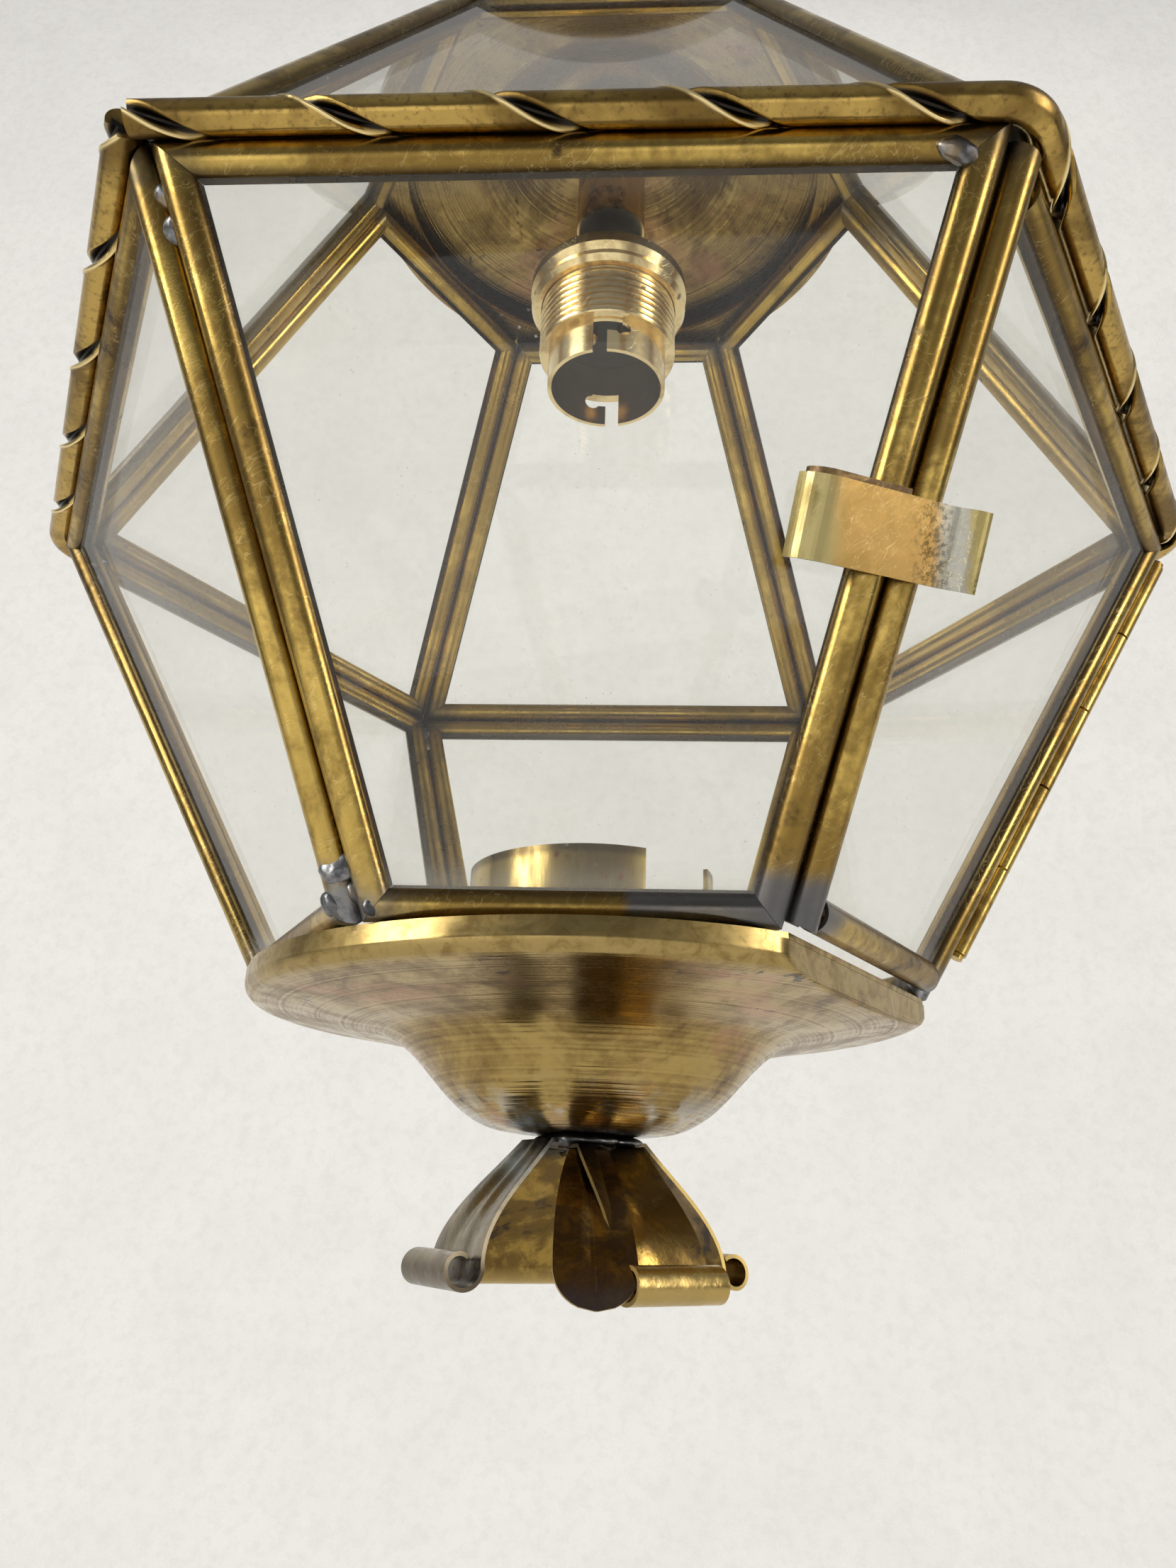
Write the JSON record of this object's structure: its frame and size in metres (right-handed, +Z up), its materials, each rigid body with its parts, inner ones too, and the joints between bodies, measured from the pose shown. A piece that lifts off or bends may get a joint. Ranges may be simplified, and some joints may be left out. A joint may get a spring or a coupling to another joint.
{
  "type": "hanging glass lantern",
  "caption": "Hanging hexagonal brass and glass lantern with a bayonet lamp holder, a candle ring, one hinged glazed side with a snap latch, and a hanging ring.",
  "frame": {"origin": "where a hook bears inside the top of the hanging ring, on the lantern's axis", "axes": "+Z up along the lantern's axis; -Y is the outward side of the glazed panel left of the door; +X is the corner that carries the door hinge"},
  "size_m": [0.2192, 0.1922, 0.3172],
  "materials": {
    "came_brass": "aged and rubbed, satin",
    "clear_glass": "clear, thin dust",
    "rope_brass": "polished on the crests, dark in the slit",
    "dish_brass": "spun, brown patina",
    "hoop_brass": "dull, heat stained",
    "leaf_brass": "brown patina outside, golden inside",
    "latch_brass": "rubbed, dark at the edges",
    "hinge_brass": "satin",
    "fitting_brass": "satin",
    "holder_brass": "bright, lightly tarnished",
    "black_plastic": "black",
    "spring_steel": "bright wire"
  },
  "bodies": {
    "suspension": {"hanging_ring": "fitting_brass"},
    "lantern": {"front_frame": "came_brass", "right_frame": "came_brass", "back_right_frame": "came_brass", "back_left_frame": "came_brass", "left_frame": "came_brass", "roof_frame_front": "came_brass", "roof_frame_front_right": "came_brass", "roof_frame_back_right": "came_brass", "roof_frame_back": "came_brass", "roof_frame_back_left": "came_brass", "roof_frame_front_left": "came_brass", "front_pane": "clear_glass", "right_pane": "clear_glass", "back_right_pane": "clear_glass", "back_left_pane": "clear_glass", "left_pane": "clear_glass", "roof_pane_front": "clear_glass", "roof_pane_front_right": "clear_glass", "roof_pane_back_right": "clear_glass", "roof_pane_back": "clear_glass", "roof_pane_back_left": "clear_glass", "roof_pane_front_left": "clear_glass", "rope_front": "rope_brass", "rope_front_right": "rope_brass", "rope_back_right": "rope_brass", "rope_back": "rope_brass", "rope_back_left": "rope_brass", "rope_front_left": "rope_brass", "foot_dish": "dish_brass", "floor_plate": "dish_brass", "candle_ring": "hoop_brass", "finial_scroll_upper": "leaf_brass", "finial_scroll_lower": "leaf_brass", "finial_petals": "leaf_brass", "latch_catch": "latch_brass", "hinge_knuckles_body": "hinge_brass", "hinge_pin": "hinge_brass", "top_dish": "dish_brass", "seat_ring": "dish_brass", "dish_washer": "fitting_brass", "lock_nut": "fitting_brass", "hanging_loop": "fitting_brass", "threaded_tube": "fitting_brass", "stem_tube": "fitting_brass", "holder_collar": "black_plastic", "holder_cap": "holder_brass", "holder_barrel": "holder_brass", "shade_ring": "holder_brass", "contact_block": "black_plastic"},
    "door": {"door_frame": "came_brass", "door_pane": "clear_glass", "latch_strap": "latch_brass", "hinge_knuckles_door": "hinge_brass"},
    "plunger_left": {"contact_left": "holder_brass", "contact_spring_left": "spring_steel"},
    "plunger_right": {"contact_right": "holder_brass", "contact_spring_right": "spring_steel"}
  },
  "joints": [
    {"name": "swing", "type": "hinge", "parent": "suspension", "child": "lantern", "pos_m": [0, 0, -0.02975], "axis": [0, 1, 0], "range_deg": [-30, 30]},
    {"name": "door_hinge", "type": "hinge", "parent": "lantern", "child": "door", "pos_m": [0.05647, 0, -0.26686], "axis": [0.4964, 0, 0.8681], "range_deg": [0, 95]},
    {"name": "plunger_left_slide", "type": "slide", "parent": "lantern", "child": "plunger_left", "axis": [0, 0, 1], "range_m": [0, 0.0025], "stiffness_N_per_m": 500, "springref_m": -0.001, "deforming": ["contact_spring_left"]},
    {"name": "plunger_right_slide", "type": "slide", "parent": "lantern", "child": "plunger_right", "axis": [0, 0, 1], "range_m": [0, 0.0025], "stiffness_N_per_m": 500, "springref_m": -0.001, "deforming": ["contact_spring_right"]}
  ]
}
